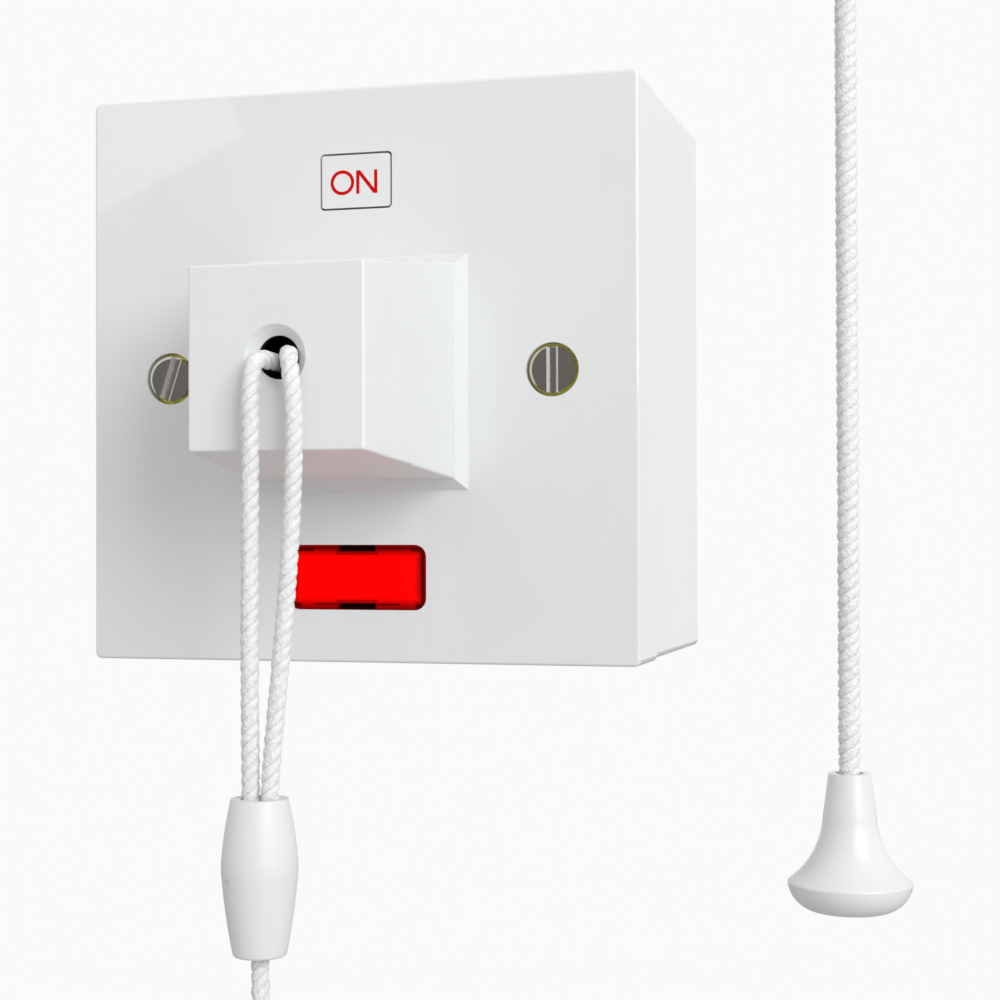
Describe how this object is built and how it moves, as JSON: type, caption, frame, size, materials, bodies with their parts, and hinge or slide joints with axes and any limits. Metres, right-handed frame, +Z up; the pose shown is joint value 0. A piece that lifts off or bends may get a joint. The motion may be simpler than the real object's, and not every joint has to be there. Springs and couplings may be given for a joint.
{
  "type": "ceiling pull cord switch",
  "caption": "Square surface-mounted pull cord switch with a central boss, an ON indicator, a neon lamp and a laid cord that ends in a bell pull.",
  "frame": {"origin": "centre of the surface box's back face, on the wall or ceiling it is fixed to", "axes": "+Z up beside the ON indicator, -Y out of the boss, +Y into the wall, +X to the right"},
  "size_m": [0.1435, 0.1142, 0.1786],
  "materials": {
    "white_moulding": "gloss",
    "nickel_plate": "polished nickel plate",
    "brass": "bright",
    "red_lens": "clear red, lit from behind",
    "lamp_glass": "clear",
    "steel": "plain",
    "resistor_body": "matte lacquer",
    "black_moulding": "matte",
    "grey_moulding": "matte",
    "cord": "laid nylon cord"
  },
  "bodies": {
    "switch": {"pattress_box": "white_moulding", "front_plate": "white_moulding", "fixing_screws": "nickel_plate", "screw_eyelets": "brass", "box_inserts": "brass", "neon_lens": "red_lens", "lamp_tray": "white_moulding", "neon_lamp": "lamp_glass", "lamp_electrodes": "steel", "lamp_leads": "steel", "lamp_resistor": "resistor_body", "mechanism_cover": "black_moulding", "mechanism_case": "black_moulding", "mechanism_screws": "steel", "return_spring": "steel", "rocker_pin": "steel", "toggle_spring": "steel", "contact_strips": "brass", "terminals": "brass", "terminal_screws": "steel", "earth_terminal": "brass", "earth_screw": "steel"},
    "driver": {"driver": "grey_moulding", "driver_pin": "steel"},
    "pull_cord": {"cord_loop": "cord", "loop_knot": "cord", "cord_connector": "white_moulding", "cord_tail": "cord", "cord_coil": "cord", "cord_lead": "cord", "bell_knot": "cord"},
    "bell": {"bell_pull": "white_moulding"},
    "rocker": {"rocker": "grey_moulding", "bridge_contacts": "brass"},
    "indicator": {"on_indicator": "white_moulding"}
  },
  "joints": [
    {"name": "driver_pull", "type": "slide", "parent": "switch", "child": "driver", "axis": [0, -1, 0], "range_m": [0, 0.007], "stiffness_N_per_m": 300, "springref_m": -0.005, "deforming": ["return_spring", "cord_loop"]},
    {"name": "cord_run_out", "type": "slide", "parent": "driver", "child": "pull_cord", "axis": [0, 0.7071, -0.7071], "range_m": [0, 0.0099]},
    {"name": "bell_slide", "type": "slide", "parent": "pull_cord", "child": "bell", "axis": [0, 0, 1], "range_m": [0, 0.06]},
    {"name": "rocker_flip", "type": "hinge", "parent": "switch", "child": "rocker", "pos_m": [0, -0.034, 0], "axis": [-1, 0, 0], "range_deg": [0, 10], "deforming": ["toggle_spring"]},
    {"name": "indicator_slide", "type": "slide", "parent": "switch", "child": "indicator", "axis": [0, 1, 0], "range_m": [0, 0.0042]}
  ],
  "couplings": [
    {"joint": "cord_run_out", "follows": "driver_pull", "ratio": 1.4142},
    {"joint": "indicator_slide", "follows": "rocker_flip", "m_per_rad": 0.024}
  ]
}
